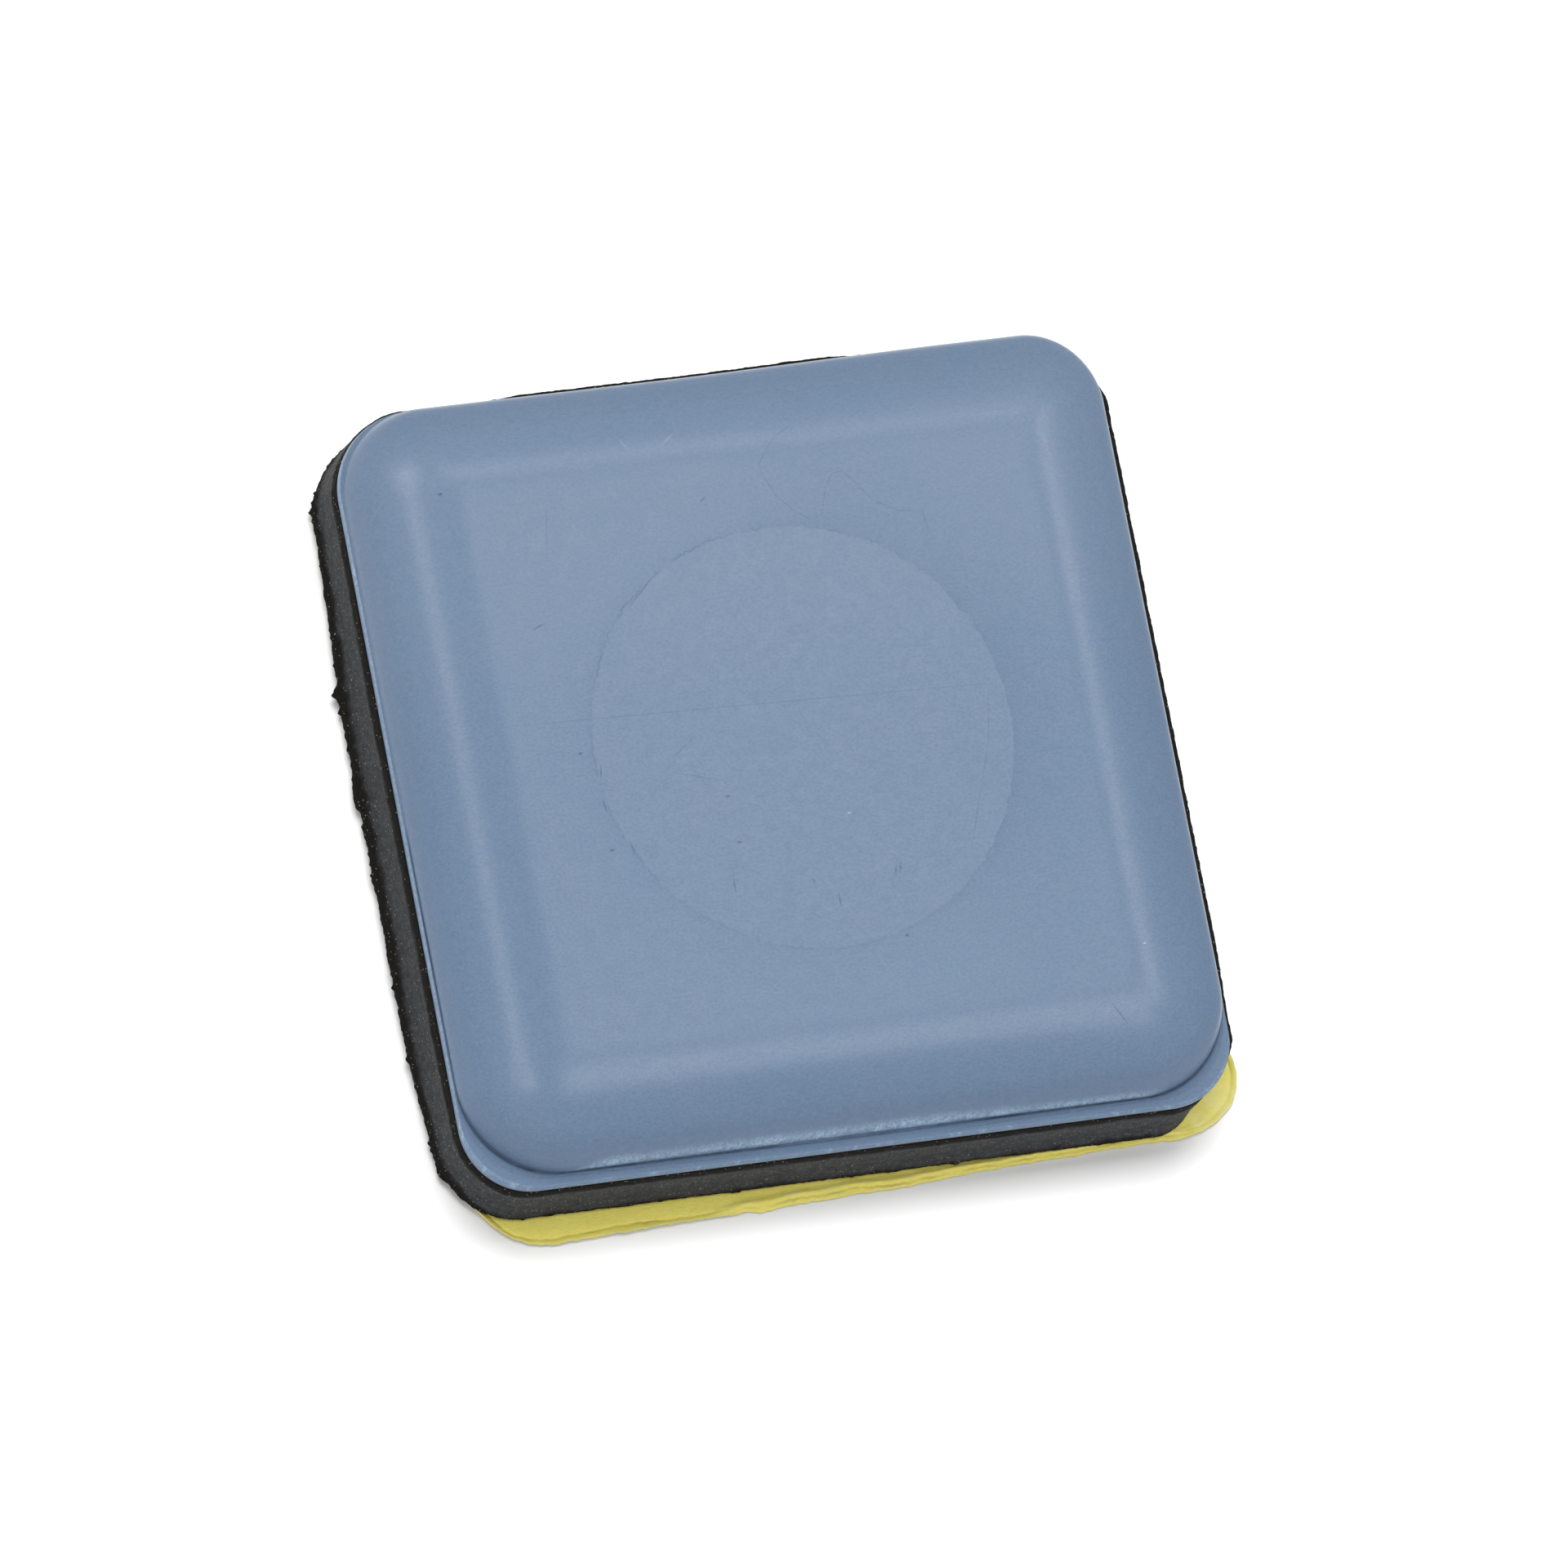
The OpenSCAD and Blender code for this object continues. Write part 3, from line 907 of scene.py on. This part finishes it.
def make_release_liner():
    """Liner with its wear, in place of its solid."""
    liner = ReleaseLiner()
    piece = ring_piece(
        "release_liner_visual", liner.rings, liner_material(),
        frayed=liner.frayed(), crease=liner.folded())
    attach(piece, "liner")
    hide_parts("release_liner")


def dress_solids():
    """Materials of the solids that stay as they are."""
    glue = glue_material()
    for name, material in (
        ("bond_film", bond_material()),
        ("inner_adhesive", glue),
        ("tape_carrier", film_material()),
        ("mount_adhesive", glue),
    ):
        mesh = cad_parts[name].data
        mesh.materials.clear()
        mesh.materials.append(material)


# Camera at the photograph's viewing angle
CAMERA_AZIMUTH = math.radians(-52.35)
CAMERA_ELEVATION = math.radians(68.44)
CAMERA_ROLL = math.radians(-43.29)
CAMERA_LENS = 450.1
CAMERA_DISTANCE = 730.8
CAMERA_AIM = (-0.097, 0.767)
# Nearest and farthest distance that it shows, in metres
CAMERA_CLIP = (0.05, 10)


def make_camera():
    """Long lens, aimed so that the part sits in the frame as in the photograph."""
    flat = math.cos(CAMERA_ELEVATION)
    back = Vector((
        math.sin(CAMERA_AZIMUTH) * flat,
        -math.cos(CAMERA_AZIMUTH) * flat,
        math.sin(CAMERA_ELEVATION),
    ))
    level = Vector((math.cos(CAMERA_AZIMUTH), math.sin(CAMERA_AZIMUTH), 0))
    upright = back.cross(level)
    right = math.cos(CAMERA_ROLL) * level - math.sin(CAMERA_ROLL) * upright
    up = math.sin(CAMERA_ROLL) * level + math.cos(CAMERA_ROLL) * upright
    aim = Vector((0, 0, FLANGE_Z)) - CAMERA_AIM[0] * right - CAMERA_AIM[1] * up
    place = aim + CAMERA_DISTANCE * back
    camera = bpy.data.objects.new("camera", bpy.data.cameras.new("camera"))
    camera.data.lens = CAMERA_LENS
    camera.data.clip_start, camera.data.clip_end = CAMERA_CLIP
    turn = Matrix((right, up, back)).transposed()
    camera.matrix_world = Matrix.Translation(place * MM) @ turn.to_4x4()
    bpy.context.scene.collection.objects.link(camera)
    bpy.context.scene.camera = camera


# Soft boxes: direction from the part, size in metres and brightness. Mirrored ones make highlights.
LIGHT_DISTANCE = 1.0
MIRRORED_BOXES = {
    "main_box": ((0.285, 0.22, 0.935), (0.11, 0.16), 4.3),
    "left_strip": ((-0.29, 0.235, 0.93), (0.13, 0.62), 4.1),
    "left_front_end": ((-0.23, -0.06, 0.97), (0.09, 0.1), 6.2),
    "left_back_end": ((-0.19, 0.5, 0.845), (0.1, 0.12), 7.2),
    "right_strip": ((0.535, 0.19, 0.82), (0.13, 0.44), 4.8),
    "front_strip": ((0.29, -0.08, 0.955), (0.4, 0.28), 3.6),
    "back_strip": ((0.27, 0.46, 0.84), (0.36, 0.17), 3.2),
}
PLAIN_BOXES = {
    "key_box": ((-0.12, 0.48, 0.87), (0.5, 0.5), 2.6),
    "front_fill": ((-0.3, -0.45, 0.84), (0.6, 0.6), 1.05),
}
# Box that shines on the floor alone, to give the part its soft shadow
FLOOR_BOX = ((-0.02, 0.47, 0.88), (0.8, 0.5), 12.8)
WORLD_LIGHT = 0.46
# Floor just below the part, with its span and height in metres
FLOOR_GLOW = 0.12
FLOOR_COLOUR = 0.5
FLOOR_SPAN = 1.5
FLOOR_Z = -0.00001


def soft_box(name, way, size, radiance, mirrored):
    """Rectangular light in a direction from the part, facing it."""
    lamp = bpy.data.lights.new(name, "AREA")
    lamp.shape = "RECTANGLE"
    lamp.size, lamp.size_y = size
    lamp.energy = radiance * math.pi * size[0] * size[1]
    light = bpy.data.objects.new(name, lamp)
    light.visible_glossy = mirrored
    way = Vector(way).normalized()
    across = Vector((1, 0, 0))
    across = (across - across.dot(way) * way).normalized()
    turn = Matrix((across, way.cross(across), way)).transposed()
    light.matrix_world = Matrix.Translation(way * LIGHT_DISTANCE) @ turn.to_4x4()
    bpy.context.scene.collection.objects.link(light)
    return light


def make_lights():
    """Even surroundings and soft boxes overhead."""
    world = bpy.data.worlds.new("studio")
    world.use_nodes = True
    background = world.node_tree.nodes["Background"]
    background.inputs["Color"].default_value = (1, 1, 1, 1)
    background.inputs["Strength"].default_value = WORLD_LIGHT
    bpy.context.scene.world = world
    for boxes, mirrored in ((MIRRORED_BOXES, True), (PLAIN_BOXES, False)):
        for name, (way, size, radiance) in boxes.items():
            soft_box(name, way, size, radiance, mirrored)


def make_floor():
    """White floor that keeps a soft shadow. It glows where it is seen, directly or in a reflection."""
    bpy.ops.mesh.primitive_plane_add(size=FLOOR_SPAN, location=(0, 0, FLOOR_Z))
    floor = bpy.context.object
    floor.name = "floor"
    material = bpy.data.materials.new("floor")
    material.use_nodes = True
    nodes, links = material.node_tree.nodes, material.node_tree.links
    surface = nodes["Principled BSDF"]
    surface.inputs["Base Color"].default_value = (FLOOR_COLOUR, FLOOR_COLOUR, FLOOR_COLOUR, 1)
    surface.inputs["Roughness"].default_value = 1.0
    surface.inputs["Specular IOR Level"].default_value = 0.0
    surface.inputs["Emission Color"].default_value = (1, 1, 1, 1)
    path = nodes.new("ShaderNodeLightPath")
    seen = path.outputs["Is Camera Ray"]
    for key in ("Is Glossy Ray", "Is Transmission Ray"):
        most = nodes.new("ShaderNodeMath")
        most.operation = "MAXIMUM"
        links.new(seen, most.inputs[0])
        links.new(path.outputs[key], most.inputs[1])
        seen = most.outputs[0]
    glow = nodes.new("ShaderNodeMath")
    glow.operation = "MULTIPLY"
    glow.inputs[1].default_value = FLOOR_GLOW
    links.new(seen, glow.inputs[0])
    links.new(glow.outputs[0], surface.inputs["Emission Strength"])
    floor.data.materials.append(material)
    floor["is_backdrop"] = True
    lit = bpy.data.collections.new("lit_floor")
    lit.objects.link(floor)
    soft_box("floor_box", *FLOOR_BOX, False).light_linking.receiver_collection = lit


make_camera()
make_glide_cap()
make_rubber_core()
make_release_liner()
dress_solids()
make_lights()
make_floor()
bpy.context.scene.view_settings.view_transform = "Standard"

boxes = {"cad": CAD_BOUNDS, "visual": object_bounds()}
{key: [list(corner) for corner in box] for key, box in boxes.items()}
